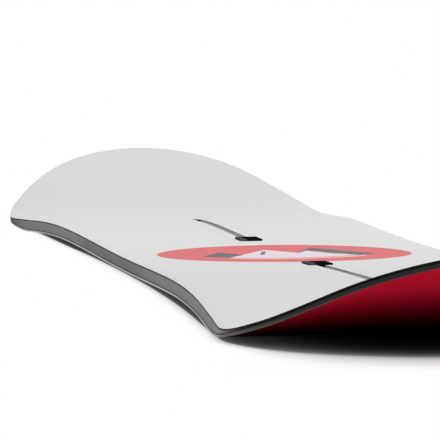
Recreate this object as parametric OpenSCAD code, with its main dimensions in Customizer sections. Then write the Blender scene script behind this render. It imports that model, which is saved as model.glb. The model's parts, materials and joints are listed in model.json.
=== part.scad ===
// Snowboard without bindings: a laminated twin-tip deck with two binding channels.
// X runs from the tail to the nose, Y across the deck, Z up from the ground that it rests on.
// Left and right are those of a rider who looks at the nose, so left is +Y.

/* [Outline] */
// Overall length, tail to nose
board_l = 1550; // [1500:5:1600]
// Width at the waist
waist_w = 250; // [244:1:260]
// Width where the side cut hands over to the tip outline
shoulder_w = 294; // [286:1:304]
// Distance from the middle to that place
shoulder_x = 578; // [566:1:590]
// How the side cut opens away from the waist, where 2 is a plain radius
sidecut_power = 2.3; // [2:0.1:2.6]
// Fullness of the tip outline, where 2 is an ellipse
tip_power = 1.55; // [1.45:0.05:2]

/* [Side profile] */
// Distance from the middle to the end of the camber curve
camber_end_x = 495; // [485:1:505]
// Height of the two camber arches
camber_h = 3.6; // [2:0.2:5]
// How far out the arches stand, where 1 makes one arch at the middle
camber_power = 1.85; // [1.5:0.05:2]
// Radius of the gentle bend that takes the base off the ground
foot_bend_r = 590; // [540:10:640]
// Length of that bend along X
foot_bend_l = 152; // [140:2:160]
// Radius of the tighter bend that lifts each tip
tip_bend_r = 308; // [290:2:330]
// Length of that bend along X
tip_bend_l = 66; // [50:1:75]

/* [Thickness] */
// Thickness under the feet
middle_t = 10.5; // [9:0.1:12]
// Thickness at the tips
tip_t = 3.7; // [3.6:0.1:4.5]
// Distance from the middle at which the deck starts to thin
taper_from_x = 500; // [480:1:510]
// Distance from the middle at which it is as thin as the tips
taper_to_x = 630; // [620:1:680]

/* [Layers] */
// Thickness of the sliding base
base_t = 1; // [0.9:0.1:1.1]
// Width of the steel edge's body
edge_w = 2; // [1.8:0.1:2.4]
// Height of the steel edge, anchor flange included
edge_h = 1.5; // [1.4:0.1:1.6]
// Width of the anchor flange inside the body
flange_w = 5; // [4:0.5:7]
// Thickness of the rubber strip on the steel edge
rubber_t = 0.15; // [0.1:0.05:0.2]
// Height of the lower laminate's upper face above the base
lower_laminate_top = 2; // [1.9:0.1:2.1]
// Thickness of the upper laminate
upper_laminate_t = 0.5; // [0.4:0.1:0.6]
// Thickness of the topsheet
topsheet_t = 0.4; // [0.3:0.1:0.5]
// Width of the sidewalls
sidewall_w = 9; // [8:1:12]
// Distance from the middle to the joints between core and tip spacers and between the steel edges
joint_x = 600; // [590:1:610]
// Distances from the middle to the butt joints between the lengths of wood, sidewall and edge
butt_x = [150, 367]; // [100:1:400]
// Distances from the middle to the seams between the lengths of the base
base_seam_x = [105, 335, 440, 545, 615, 675]; // [100:1:720]
// Width of the hard stringer in the middle of the core, which the channels replace
stringer_w = 18; // [18:1:22]
// Distance from the middle line to the hard rails of the core
rail_y = 84; // [70:1:95]

/* [Binding channels] */
// How far the stance centre lies towards the tail
setback = 5; // [0:1:20]
// Distance from the stance centre to the inner end of each channel
channel_in = 129; // [124:1:134]
// Distance from the stance centre to the outer end of each slot
channel_out = 413; // [403:1:416]
// Width of the slot in the top
slot_w = 7; // [6.6:0.1:7.4]
// Width of the hollow that holds the nuts
hollow_w = 13; // [12.6:0.1:13.4]
// Height of that hollow
hollow_h = 4.4; // [4.2:0.1:4.6]
// Thickness of the track below the hollow, at the hollow's ends
track_floor_t = 1.6; // [1.5:0.1:1.7]
// Length of the loading port at the inner end
port_l = 22; // [20:1:24]
// Width of the loading port
port_w = 12.8; // [12.7:0.1:13]

/* [End caps] */
// Length of the cap on the loading port
cap_l = 29; // [27:1:32]
// Width of the cap
cap_w = 18; // [17:1:21]
// How far the cap stands above the topsheet
cap_t = 1.5; // [1:0.1:1.8]
// Corner radius of the cap
cap_corner_r = 1.5; // [1:0.1:3]
// Length of the plug in the outer end of the slot
plug_l = 8; // [6:1:10]

/* [Nuts] */
// Length of a nut along the channel
nut_l = 16; // [14:1:18]
// Width of a nut
nut_w = 12.6; // [12.3:0.1:12.7]
// Height of a nut
nut_h = 4.1; // [3.9:0.1:4.2]
// Wall radius of the M6 thread
thread_r = 2.5; // [2.5:0.05:2.6]
// Distance from the stance centre to the pair of nuts
stance_half = 280; // [276:1:284]
// Spacing of the two nuts in one channel
nut_spacing = 40; // [38:1:42]

/* [Hidden] */

half_l = board_l / 2;
// Slope at which the camber curve runs into the gentle bend
end_slope = -camber_h * PI * camber_power / camber_end_x;
// Lift that puts the lowest line of the base on the ground
ground_lift = end_slope * end_slope * foot_bend_r / 2;
// Where the base touches the ground
touch_x = camber_end_x - end_slope * foot_bend_r;
// Where the gentle bend hands over to the tighter one, and the slope there
foot_end_x = camber_end_x + foot_bend_l;
foot_end_slope = end_slope + foot_bend_l / foot_bend_r;
// Where the straight tip begins, and its slope
bend_end_x = foot_end_x + tip_bend_l;
tip_slope = foot_end_slope + tip_bend_l / tip_bend_r;

// Room beyond the outline for the slabs that the outline trims
trim_room = 20;
camber_steps = 36;
touch_steps = 4;
foot_bend_steps = 20;
tip_bend_steps = 12;
sidecut_steps = 20;
shoulder_steps = 36;
// Distance, in steps of t, over which the direction of the outline is taken
slope_step = 0.002;
// Half of the hairline seam between two lengths
seam_half = 0.1;
// Clearance of the caps and plugs in the channels
plug_gap = 0.1;
// Clearance that the plugs keep from the floor of the hollow
plug_foot_gap = 0.5;
// How far the track stands outside the hollow at its ends
track_end_t = 5;
// Distance from the hollow's outer end to the round outer end of the slot
slot_overrun = 2;
// How far the hollow reaches inwards past the loading port
port_underrun = 1;
// Space that a nut keeps from the cap, the plug and the other nut's range
nut_gap = 1;
smooth = 48;

// A level is [share of the thickness, offset]: 0 counts from the base, 1 from the top
BOTTOM = [0, 0];
BASE_TOP = [0, base_t];
EDGE_TOP = [0, edge_h];
RUBBER_TOP = [0, edge_h + rubber_t];
LOWER_TOP = [0, lower_laminate_top];
CORE_TOP = [1, -topsheet_t - upper_laminate_t];
UPPER_TOP = [1, -topsheet_t];
TOP = [1, 0];

function ease(t) = let (u = min(1, max(0, t))) u * u * u * (u * (6 * u - 15) + 10);

// Rise of a bend of radius r that starts with this slope, after d along X
function bend_z(slope, r, d) = slope * d + d * d / (2 * r);

// Height of the base at x: two camber arches, a gentle bend, a tighter one, then a straight tip
function base_z(x) = let (
        ax = abs(x),
        d = max(0, ax - camber_end_x),
        foot = min(d, foot_bend_l),
        bend = min(d - foot, tip_bend_l))
    ground_lift + (ax <= camber_end_x
        ? camber_h * sin(180 * pow(ax / camber_end_x, camber_power))
        : bend_z(end_slope, foot_bend_r, foot) + bend_z(foot_end_slope, tip_bend_r, bend)
            + (d - foot - bend) * tip_slope);

function thickness(x) = middle_t
    + (tip_t - middle_t) * ease((abs(x) - taper_from_x) / (taper_to_x - taper_from_x));

function level_z(x, level) = base_z(x) + level[0] * thickness(x) + level[1];

// Places along X at which the side profile has a point, from the middle outwards
half_stations = concat(
    [for (i = [1 : camber_steps]) camber_end_x * i / camber_steps],
    [for (i = [1 : touch_steps]) camber_end_x + (touch_x - camber_end_x) * i / touch_steps],
    [for (i = [1 : foot_bend_steps]) touch_x + (foot_end_x - touch_x) * i / foot_bend_steps],
    [for (i = [1 : tip_bend_steps]) foot_end_x + (bend_end_x - foot_end_x) * i / tip_bend_steps],
    [half_l + trim_room]);
last = len(half_stations) - 1;
stations = concat([for (i = [last : -1 : 0]) -half_stations[i]], [0], half_stations);
station_count = len(stations);

// Half width of the side cut, continued past the shoulder for the tip outline
function cut_y(x) = waist_w / 2 + (shoulder_w - waist_w) / 2 * pow(x / shoulder_x, sidecut_power);

// A point of one quarter of the outline: t runs 0 to 1 along the side cut and 1 to 2 round the tip
function quarter_point(t) = t <= 1
    ? [shoulder_x * t, cut_y(shoulder_x * t)]
    : let (a = 90 * (t - 1), x = shoulder_x + (half_l - shoulder_x) * pow(sin(a), 2 / tip_power))
        [x, cut_y(x) * cos(a)];

// Outward normal there, from two points close by
function quarter_normal(t) = t <= 0 ? [0, 1] : t >= 2 ? [1, 0]
    : let (d = quarter_point(min(2, t + slope_step)) - quarter_point(t - slope_step))
        [-d[1], d[0]] / norm(d);

quarter_steps = concat([for (i = [0 : sidecut_steps - 1]) i / sidecut_steps],
    [for (i = [0 : shoulder_steps]) 1 + i / shoulder_steps]);
quarter_last = len(quarter_steps) - 1;

function quarter(inset) = [for (t = quarter_steps) quarter_point(t) - inset * quarter_normal(t)];

// The whole outline, moved inwards by inset
function outline(inset) = let (q = quarter(inset), n = quarter_last) concat(
    [for (i = [0 : n]) q[i]],
    [for (i = [n - 1 : -1 : 0]) [q[i][0], -q[i][1]]],
    [for (i = [1 : n]) [-q[i][0], -q[i][1]]],
    [for (i = [n - 1 : -1 : 1]) [-q[i][0], q[i][1]]]);

// Curved slab between two levels, wider than the deck
module slab(low, high) {
    rotate([90, 0, 0])
        linear_extrude(height = shoulder_w + 2 * trim_room, center = true)
            polygon(concat(
                [for (x = stations) [x, level_z(x, low)]],
                [for (i = [station_count - 1 : -1 : 0]) [stations[i], level_z(stations[i], high)]]));
}

// Upright prism through the whole height of the deck
module prism(points) {
    translate([0, 0, -trim_room])
        linear_extrude(height = 150)
            polygon(points);
}

// Layer of the deck between two levels, its outline moved inwards by inset
module layer(low, high, inset) {
    intersection() {
        slab(low, high);
        prism(outline(inset));
    }
}

// Ring along the rim of the deck between two levels and two insets
module rim(low, high, outer, inner) {
    difference() {
        layer(low, high, outer);
        prism(outline(inner));
    }
}

// Upright box between two values of x and two of y
module column(x1, x2, y1, y2) {
    translate([x1, y1, -trim_room])
        cube([x2 - x1, y2 - y1, 150]);
}

// The part of its children between the joints, on the left for side 1 and on the right for side -1
module side_of(side, gap = 0) {
    x = joint_x - gap;
    intersection() {
        children();
        column(-x, x, min(0, side * shoulder_w), max(0, side * shoulder_w));
    }
}

// The part of its children beyond a joint, at the tail for end -1 and at the nose for end 1
module tip_of(end, gap = 0) {
    x = joint_x + gap;
    intersection() {
        children();
        column(min(end * x, end * board_l), max(end * x, end * board_l), -shoulder_w, shoulder_w);
    }
}

// Its children in several lengths, with a hairline seam at each of these distances from the middle
module in_lengths(distances) {
    difference() {
        children();
        for (x = distances, end = [-1, 1])
            column(end * x - seam_half, end * x + seam_half, -shoulder_w, shoulder_w);
    }
}

module base_sheet() {
    color("crimson")
        in_lengths(base_seam_x)
            layer(BOTTOM, BASE_TOP, edge_w);
}

// Steel edge all round: a body on the rim and a flange above the base
module edge_ring() {
    color("silver")
        in_lengths(butt_x)
            difference() {
                rim(BOTTOM, EDGE_TOP, 0, edge_w + flange_w);
                intersection() {
                    slab([0, -1], BASE_TOP);
                    prism(outline(edge_w));
                }
            }
}

module rubber_ring() {
    color([0.12, 0.12, 0.13])
        rim(EDGE_TOP, RUBBER_TOP, 0, edge_w + flange_w);
}

module lower_laminate() {
    color("khaki")
        difference() {
            layer(BASE_TOP, LOWER_TOP, 0);
            difference() {
                slab([0, -1], RUBBER_TOP);
                prism(outline(edge_w + flange_w));
            }
        }
}

// Part of the wood core between two values of y
module core_strip(y1, y2) {
    intersection() {
        layer(LOWER_TOP, CORE_TOP, sidewall_w);
        column(-joint_x, joint_x, y1, y2);
    }
}

module core_centre_stringer() {
    color("burlywood")
        difference() {
            core_strip(-stringer_w / 2, stringer_w / 2);
            for (end = [-1, 1])
                track_space(end);
        }
}

module core_plank(side) {
    color("wheat")
        in_lengths(butt_x)
            core_strip(min(side * stringer_w / 2, side * rail_y), max(side * stringer_w / 2, side * rail_y));
}

module core_rail(side) {
    color("tan")
        in_lengths(butt_x)
            core_strip(min(side * rail_y, side * shoulder_w), max(side * rail_y, side * shoulder_w));
}

module sidewall(side) {
    color([0.46, 0.45, 0.46])
        side_of(side)
            in_lengths(butt_x)
                rim(LOWER_TOP, CORE_TOP, 0, sidewall_w);
}

module tip_spacer(end) {
    color([0.1, 0.1, 0.11])
        tip_of(end)
            layer(LOWER_TOP, CORE_TOP, 0);
}

module upper_laminate() {
    color("khaki")
        difference() {
            layer(CORE_TOP, UPPER_TOP, 0);
            for (end = [-1, 1])
                top_openings(end);
        }
}

module topsheet() {
    color([0.86, 0.86, 0.86])
        difference() {
            layer(UPPER_TOP, TOP, 0);
            for (end = [-1, 1])
                top_openings(end);
        }
}

// x of a place in a channel, from its distance to the stance centre
function channel_x(end, s) = end * s - setback;

hollow_in = channel_in - port_underrun;
hollow_out = channel_out - slot_overrun;
hollow_middle = (hollow_in + hollow_out) / 2;
nut_in = channel_in + port_l + nut_l / 2 + nut_gap;
nut_out = channel_out - plug_l - nut_l / 2 - nut_gap;

// The hollow runs straight, along a line between the nuts' end positions; this is its slope
function hollow_slope(end) = let (a = channel_x(end, nut_in), b = channel_x(end, nut_out))
    (base_z(b) - base_z(a)) / (b - a);
function hollow_floor_z(end, x) = let (a = channel_x(end, nut_in))
    base_z(a) + lower_laminate_top + track_floor_t + hollow_slope(end) * (x - a);

// Puts its children on the floor of the hollow at distance s from the stance centre, in line with it
module in_hollow(end, s) {
    x = channel_x(end, s);
    translate([x, 0, hollow_floor_z(end, x)])
        rotate([0, -atan(hollow_slope(end)), 0])
            children();
}

module between(end, s1, s2, w) {
    a = channel_x(end, s1);
    b = channel_x(end, s2);
    column(min(a, b), max(a, b), -w / 2, w / 2);
}

module track_space(end) {
    between(end, channel_in - track_end_t, channel_out + track_end_t, stringer_w);
}

// Slot with a round outer end, and the loading port at the inner end
module top_openings(end) {
    x = channel_x(end, channel_out - slot_w / 2);
    between(end, channel_in + port_l / 2, channel_out - slot_w / 2, slot_w);
    translate([x, 0, -trim_room])
        cylinder(h = 150, r = slot_w / 2, $fn = smooth);
    between(end, channel_in, channel_in + port_l, port_w);
}

module hollow(end) {
    in_hollow(end, hollow_middle)
        translate([0, 0, hollow_h / 2])
            cube([hollow_out - hollow_in, hollow_w, hollow_h], center = true);
}

module channel_track(end) {
    color([0.53, 0.51, 0.5])
        difference() {
            intersection() {
                slab(LOWER_TOP, CORE_TOP);
                track_space(end);
            }
            hollow(end);
            intersection() {
                top_openings(end);
                in_hollow(end, hollow_middle)
                    translate([0, 0, 25 + hollow_h / 2])
                        cube([board_l, 40, 50], center = true);
            }
        }
}

// Round-cornered rectangle, built from its four corner arcs
function rounded(x1, x2, y1, y2, r) = [for (q = [0 : 3], i = [0 : 6])
    let (a = 90 * q + 15 * i, cx = (q == 0 || q == 3) ? x2 - r : x1 + r, cy = q < 2 ? y2 - r : y1 + r)
        [cx + r * cos(a), cy + r * sin(a)]];

module channel_cap(end) {
    middle = channel_x(end, channel_in - 2.5 + cap_l / 2);
    foot = [0, lower_laminate_top + track_floor_t + plug_foot_gap];
    color([0.07, 0.07, 0.08]) {
        intersection() {
            slab(TOP, [1, cap_t]);
            prism(rounded(middle - cap_l / 2, middle + cap_l / 2, -cap_w / 2, cap_w / 2, cap_corner_r));
        }
        intersection() {
            slab(foot, TOP);
            between(end, channel_in + plug_gap, channel_in + port_l - plug_gap, port_w - 2 * plug_gap);
        }
    }
}

module channel_plug(end) {
    inner = channel_out - plug_l;
    round_x = channel_x(end, channel_out - slot_w / 2);
    foot = [0, lower_laminate_top + track_floor_t + hollow_h / 2];
    color([0.07, 0.07, 0.08]) {
        intersection() {
            slab(foot, [1, -plug_gap]);
            union() {
                between(end, inner, channel_out - slot_w / 2, slot_w - 2 * plug_gap);
                translate([round_x, 0, -trim_room])
                    cylinder(h = 150, r = slot_w / 2 - plug_gap, $fn = smooth);
            }
            between(end, inner, hollow_out - plug_gap, hollow_w);
        }
        in_hollow(end, (inner + hollow_out) / 2)
            translate([0, 0, hollow_h / 2])
                cube([plug_l - slot_overrun - 2 * plug_gap, hollow_w - 2 * plug_gap, hollow_h - 2 * plug_gap],
                    center = true);
    }
}

// Nut at distance s from the stance centre: a block with cut corners and a threaded hole
module channel_nut(end, s) {
    c = 1.5;
    x = nut_l / 2;
    y = nut_w / 2;
    color([0.6, 0.6, 0.62])
        in_hollow(end, s)
            translate([0, 0, (hollow_h - nut_h) / 2])
                difference() {
                    linear_extrude(height = nut_h)
                        polygon([[x, y - c], [x - c, y], [c - x, y], [-x, y - c],
                            [-x, c - y], [c - x, -y], [x - c, -y], [x, c - y]]);
                    translate([0, 0, -1])
                        cylinder(h = nut_h + 2, r = thread_r, $fn = smooth);
                }
}

inner_s = stance_half - nut_spacing / 2;
outer_s = stance_half + nut_spacing / 2;

base_sheet();
side_of(1, seam_half) edge_ring();  // left_steel_edge
side_of(-1, seam_half) edge_ring();  // right_steel_edge
tip_of(-1, seam_half) edge_ring();  // tail_steel_edge
tip_of(1, seam_half) edge_ring();  // nose_steel_edge
side_of(1, seam_half) rubber_ring();  // left_edge_rubber
side_of(-1, seam_half) rubber_ring();  // right_edge_rubber
tip_of(-1, seam_half) rubber_ring();  // tail_edge_rubber
tip_of(1, seam_half) rubber_ring();  // nose_edge_rubber
lower_laminate();
core_centre_stringer();
core_plank(1);  // core_left_plank
core_plank(-1);  // core_right_plank
core_rail(1);  // core_left_rail
core_rail(-1);  // core_right_rail
sidewall(1);  // left_sidewall
sidewall(-1);  // right_sidewall
tip_spacer(-1);  // tail_spacer
tip_spacer(1);  // nose_spacer
upper_laminate();
topsheet();
channel_track(-1);  // tail_channel_track
channel_track(1);  // nose_channel_track
channel_cap(-1);  // tail_channel_cap
channel_cap(1);  // nose_channel_cap
channel_plug(-1);  // tail_channel_plug
channel_plug(1);  // nose_channel_plug
channel_nut(-1, inner_s);  // tail_inner_nut
channel_nut(-1, outer_s);  // tail_outer_nut
channel_nut(1, inner_s);  // nose_inner_nut
channel_nut(1, outer_s);  // nose_outer_nut
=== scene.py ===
"""Looks of a laminated snowboard deck with two binding channels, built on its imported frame.

X runs from the tail to the nose, Y to the left of a rider who looks at the nose, Z up from the ground.
Every surface is a formula in metres on a grid of two parameters, so a piece is as fine as its grid.
"""

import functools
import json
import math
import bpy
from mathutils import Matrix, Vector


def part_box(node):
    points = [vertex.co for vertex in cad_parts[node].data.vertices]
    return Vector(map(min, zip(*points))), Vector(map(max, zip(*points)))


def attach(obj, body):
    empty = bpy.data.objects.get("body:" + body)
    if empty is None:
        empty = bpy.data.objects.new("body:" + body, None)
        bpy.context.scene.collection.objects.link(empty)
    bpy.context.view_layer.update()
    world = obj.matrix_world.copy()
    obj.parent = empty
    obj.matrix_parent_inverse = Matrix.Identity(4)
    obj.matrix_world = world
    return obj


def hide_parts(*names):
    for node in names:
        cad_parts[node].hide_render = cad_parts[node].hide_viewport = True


bl_info = {
    "name": "Snowboard Deck",
    "version": (1, 0, 0),
    "blender": (4, 5, 0),
    "location": "View3D > Sidebar > Deck",
    "description": "Dresses the frame of a laminated snowboard deck with binding channels",
    "category": "Add Mesh",
}

import bmesh
import bpy
import numpy as np
from mathutils import Matrix, Vector

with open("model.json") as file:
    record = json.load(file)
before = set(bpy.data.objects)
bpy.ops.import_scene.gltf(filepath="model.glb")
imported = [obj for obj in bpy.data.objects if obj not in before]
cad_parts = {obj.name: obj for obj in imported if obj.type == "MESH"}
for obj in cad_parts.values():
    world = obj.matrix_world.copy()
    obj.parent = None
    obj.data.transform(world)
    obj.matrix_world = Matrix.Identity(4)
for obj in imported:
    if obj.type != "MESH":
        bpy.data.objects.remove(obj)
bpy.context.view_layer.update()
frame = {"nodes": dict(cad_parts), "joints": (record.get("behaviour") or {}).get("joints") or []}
MM = 0.001
HAIR = 0.02 * MM  # the smallest step, radius or gap in a mesh
MIDDLE = 9 * MM  # an inset that takes the rings of a block in to its middle line
BODY = "deck"
ENDS = {"tail": -1, "nose": 1}
SIDES = {"left": 1, "right": -1}
SEEN_BY = ("Is Camera Ray", "Is Glossy Ray", "Is Transmission Ray")


def length(value, name, description):
    """A length property in metres, given in millimetres."""
    return bpy.props.FloatProperty(
        name=name, description=description, default=value * MM, precision=5, unit="LENGTH"
    )


def number(value, name, description):
    """A plain number property."""
    return bpy.props.FloatProperty(name=name, description=description, default=value, precision=4)


def rotation(value, name, description):
    """An angle property in radians."""
    return bpy.props.FloatProperty(name=name, description=description, default=value, unit="ROTATION")


def colour(red, green, blue, name, description):
    """A linear colour property."""
    tone = (red, green, blue)
    return bpy.props.FloatVectorProperty(
        name=name, description=description, default=tone, size=3, min=0, max=1, subtype="COLOR"
    )


class DeckShape(bpy.types.PropertyGroup):
    """Outline, side profile and thickness of the whole deck."""

    half_length: length(775, "Half Length", "From the middle to a tip")
    half_waist: length(125, "Half Waist", "Half of the narrowest width")
    half_shoulder: length(147, "Half Shoulder", "Half of the width where the tip outline starts")
    shoulder: length(578, "Shoulder", "From the middle to the start of the tip outline")
    side_cut_power: number(2.3, "Side Cut Power", "How late the side cut opens, 2 is a plain radius")
    tip_power: number(1.55, "Tip Power", "Fullness of the tip outline, 2 is an ellipse")
    camber_end: length(495, "Camber End", "From the middle to the end of the camber curve")
    camber: length(3.6, "Camber", "Height of the two arches")
    camber_power: number(1.85, "Camber Power", "How far out the arches stand, 1 is a single arch")
    foot_radius: length(590, "Foot Radius", "Radius of the bend that takes the base off the ground")
    foot_length: length(152, "Foot Length", "Length of that bend along X")
    bend_radius: length(308, "Bend Radius", "Radius of the tighter bend that lifts a tip")
    bend_length: length(66, "Bend Length", "Length of that bend along X")
    thick: length(10.5, "Thickness", "Thickness under the feet")
    thin: length(3.7, "Tip Thickness", "Thickness at the tips")
    taper_from: length(500, "Taper From", "From the middle to where the deck starts to thin")
    taper_to: length(630, "Taper To", "From the middle to where it is as thin as the tips")
    skin: length(0.02, "Skin", "How far the dressed rim lies inside the frame's")


class LayerSizes(bpy.types.PropertyGroup):
    """Layers and strips that the deck is pressed from."""

    base: length(1, "Base", "Thickness of the sliding base")
    edge_width: length(2, "Edge Width", "Width of the steel edge's body")
    edge_height: length(1.5, "Edge Height", "Height of the steel edge")
    flange: length(5, "Flange", "Width of its anchor flange")
    lower: length(2, "Lower Laminate", "Height of the lower laminate's upper face")
    upper: length(0.9, "Upper Layers", "Thickness of topsheet and upper laminate together")
    topsheet: length(0.4, "Topsheet", "Thickness of the topsheet")
    sidewall: length(9, "Sidewall", "Width of a sidewall")
    joint: length(600, "Joint", "From the middle to the tip spacers")
    seam: length(0.1, "Seam", "Half of the hairline seam between steel edges")


class ChannelSizes(bpy.types.PropertyGroup):
    """Binding channels with their caps and plugs, by distance from the stance centre."""

    setback: length(5, "Setback", "How far the stance centre lies towards the tail")
    inner: length(129, "Inner End", "Start of the loading port")
    port: length(22, "Port", "Length of the loading port")
    outer: length(413, "Outer End", "Round end of the slot")
    half_slot: length(3.5, "Half Slot", "Half width of the slot")
    half_port: length(6.4, "Half Port", "Half width of the port")
    floor: length(3.6, "Hollow Floor", "Height of the hollow's floor above the base")
    hollow: length(4.4, "Hollow", "Height of the hollow under the lips")
    half_cap_length: length(14.5, "Half Cap Length", "Half length of a cap")
    half_cap_width: length(9, "Half Cap Width", "Half width of a cap")
    cap_overlap: length(2.5, "Cap Overlap", "How far a cap reaches inwards over the port")
    cap_height: length(1.5, "Cap Height", "How far a cap stands above the topsheet")
    plug: length(8, "Plug", "From a plug's inner end to the end of the slot")
    plug_rest: length(2, "Plug Rest", "What a plug leaves free of the slot's round end")
    gap: length(0.1, "Gap", "Play of caps and plugs in the track")


class NutSizes(bpy.types.PropertyGroup):
    """Channel nuts with their threaded holes."""

    half_length: length(8, "Half Length", "Half length along the channel")
    half_width: length(6.3, "Half Width", "Half width across the channel")
    half_height: length(2.05, "Half Height", "Half height")
    corner: length(1.5, "Corner", "How much the cut takes off each corner")
    bevel: length(0.3, "Bevel", "Width of the bevels")
    hole: length(2.5, "Hole", "Radius of the hole at the crests of the thread")
    thread: length(0.42, "Thread", "Depth of the thread")
    pitch: length(1, "Pitch", "Climb of the thread in one turn")
    mouth: length(2.9, "Mouth", "Radius of the hole's mouths")
    lead: length(0.25, "Lead", "Height of the mouths")


class PrintSizes(bpy.types.PropertyGroup):
    """Print on the topsheet."""

    disc_radius: length(96.9, "Disc Radius", "Radius of the printed disc")
    disc_at: length(8.4, "Disc Place", "Middle of the disc along X")
    marks_from: length(170, "Marks From", "From the stance centre to the first marks")
    marks_to: length(392, "Marks To", "From the stance centre to the last marks")
    mark_pitch: length(20, "Mark Pitch", "Distance between two marks")
    mark_at: length(12, "Mark Place", "From the middle line to a row of marks")


class DeckColours(bpy.types.PropertyGroup):
    """Linear colours of the finishes."""

    topsheet: colour(0.66, 0.66, 0.665, "Topsheet", "Satin lacquer")
    disc: colour(0.63, 0.135, 0.14, "Disc", "Printed disc")
    snow: colour(0.76, 0.66, 0.72, "Snow", "Snow fields printed in the disc")
    rock: colour(0.10, 0.095, 0.10, "Rock", "Rocks printed in the disc")
    mark: colour(0.62, 0.22, 0.20, "Marks", "Printed stance marks")
    base: colour(0.55, 0.008, 0.03, "Base", "Ground polyethylene")
    sidewall: colour(0.325, 0.312, 0.33, "Sidewall", "Milled sidewall")
    spacer: colour(0.006, 0.0055, 0.0055, "Spacer", "Black tip spacer")
    resin: colour(0.040, 0.036, 0.038, "Resin", "Glass laminate")
    steel: colour(0.38, 0.38, 0.39, "Steel", "Ground steel edge")
    track: colour(0.78, 0.74, 0.71, "Track", "Anodised channel track")
    rubber: colour(0.006, 0.006, 0.007, "Rubber", "Caps, plugs and rubber strips")
    hardwood: colour(0.42, 0.27, 0.15, "Hardwood", "Stringer and rails")
    poplar: colour(0.62, 0.47, 0.29, "Poplar", "Planks of the core")
    zinc: colour(0.50, 0.50, 0.51, "Zinc", "Plated nuts")


class StageSettings(bpy.types.PropertyGroup):
    """Camera, lights and floor."""

    eye: bpy.props.FloatVectorProperty(
        name="Eye",
        description="Place of the camera",
        default=(2.4168, -0.4562, 0.1787),
        precision=5,
        size=3,
        subtype="TRANSLATION",
        unit="LENGTH",
    )
    yaw: rotation(0.1673, "Yaw", "Turn of the view from -X towards +Y")
    pitch: rotation(0.0577, "Pitch", "Downward tilt of the view")
    roll: rotation(-0.0070, "Roll", "Turn about the line of sight")
    focal: bpy.props.FloatProperty(
        name="Focal Length", description="Of a 36 mm wide sensor", default=263.88, unit="CAMERA"
    )
    sky: number(0.08, "Sky", "Strength of the even light from all round")
    lamp: number(760, "Lamp", "Power of the large soft lamp, in watts")
    lamp_size: length(6400, "Lamp Size", "Side of the square lamp")
    lamp_far: length(8000, "Lamp Distance", "From the deck to the lamp")
    lamp_up: rotation(1.15, "Lamp Height", "Angle of the lamp above the ground")
    lamp_turn: rotation(-0.5, "Lamp Turn", "Turn of the lamp from +X towards -Y")
    floor: number(0.95, "Floor", "Lightness of the floor")
    # painted shadow: the floor's own colour under the deck
    painted_shadow_tone: colour(0.09, 0.12, 0.12, "Contact", "Colour of the floor under the deck")
    shade_edge: number(0.19, "Shade Edge", "Share of white just inside the brink of the shade")
    shade_leap: number(0.38, "Shade Leap", "How much whiter it is just outside, beside the deck")
    shade_soft: number(0.055, "Shade Soft", "How slowly the shade fades beside the deck")
    shade_tip: number(0.95, "Shade Tip", "How much more slowly it fades outside the tips")
    shade_pull: number(0.64, "Shade Pull", "How far the shade draws back under the tips")


# ---------------------------------------------------------------- shape of the deck


def ease(share):
    """0 to 1 with level ends: 6 s^5 - 15 s^4 + 10 s^3, s clipped to 0..1."""
    s = np.clip(share, 0, 1)
    return s**3 * (s * (6 * s - 15) + 10)


def base_height(deck, x):
    """Height of the base: up to the camber end a sine of (x / end) ^ power over half a turn. Beyond it
    the end slope goes on, and each of the two bends adds b^2 / 2 R for the length b inside it and the
    slope b / R that it has gathered for the length behind it."""
    along = np.abs(x)
    slope = -deck.camber * math.pi * deck.camber_power / deck.camber_end
    beyond = np.maximum(along - deck.camber_end, 0)
    turn = (np.minimum(along, deck.camber_end) / deck.camber_end) ** deck.camber_power
    arch = deck.camber * np.sin(math.pi * turn)
    tip = slope * beyond
    for start, size, radius in (
        (0, deck.foot_length, deck.foot_radius),
        (deck.foot_length, deck.bend_length, deck.bend_radius),
    ):
        ahead = np.maximum(beyond - start, 0)
        bent = np.minimum(ahead, size)
        tip = tip + bent**2 / (2 * radius) + (ahead - bent) * bent / radius
    return slope**2 * deck.foot_radius / 2 + arch + tip


def thickness(deck, x):
    """Thickness of the deck: eased from thick to thin between the two taper places."""
    share = (np.abs(x) - deck.taper_from) / (deck.taper_to - deck.taper_from)
    return deck.thick + (deck.thin - deck.thick) * ease(share)


def level(deck, x, share, rise):
    """Height of a level: the base, plus a share of the thickness, plus a rise."""
    return base_height(deck, x) + share * thickness(deck, x) + rise


def side_cut(deck, x):
    """Half width: waist plus what the shoulder adds times (x / shoulder) ^ power."""
    flare = (np.abs(x) / deck.shoulder) ** deck.side_cut_power
    return deck.half_waist + (deck.half_shoulder - deck.half_waist) * flare


def outline(deck, t):
    """Point of the outline for t from -2 (tail) to 2 (nose): up to |t| = 1 x is t times the shoulder and
    y the side cut; beyond, the angle a = 90 degrees (|t| - 1) gives x = shoulder + tip length
    sin(a) ^ (2 / power) and y = side cut times cos(a)."""
    angle = np.clip(np.abs(t) - 1, 0, 1) * math.pi / 2
    reach = (deck.half_length - deck.shoulder) * np.sin(angle) ** (2 / deck.tip_power)
    x = np.minimum(np.abs(t), 1) * deck.shoulder + reach
    return np.sign(t) * x, side_cut(deck, x) * np.cos(angle)


def inset_outline(deck, t, inset):
    """Outline moved inwards: each point minus skin and inset times the unit normal, whose direction comes
    from the points a little before and after it; at the very tips the normal is plain X."""
    step, inset = 0.002, inset + deck.skin
    before, after = np.maximum(t - step, -2), np.minimum(t + step, 2)
    (x0, y0), (x1, y1) = outline(deck, before), outline(deck, after)
    size = np.hypot(x1 - x0, y1 - y0)
    tip = np.abs(t) >= 2 - 1e-9
    across = np.where(tip, np.sign(t), (y0 - y1) / size)
    along = np.where(tip, 0, (x1 - x0) / size)
    x, y = outline(deck, t)
    return x - inset * across, y - inset * along


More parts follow.
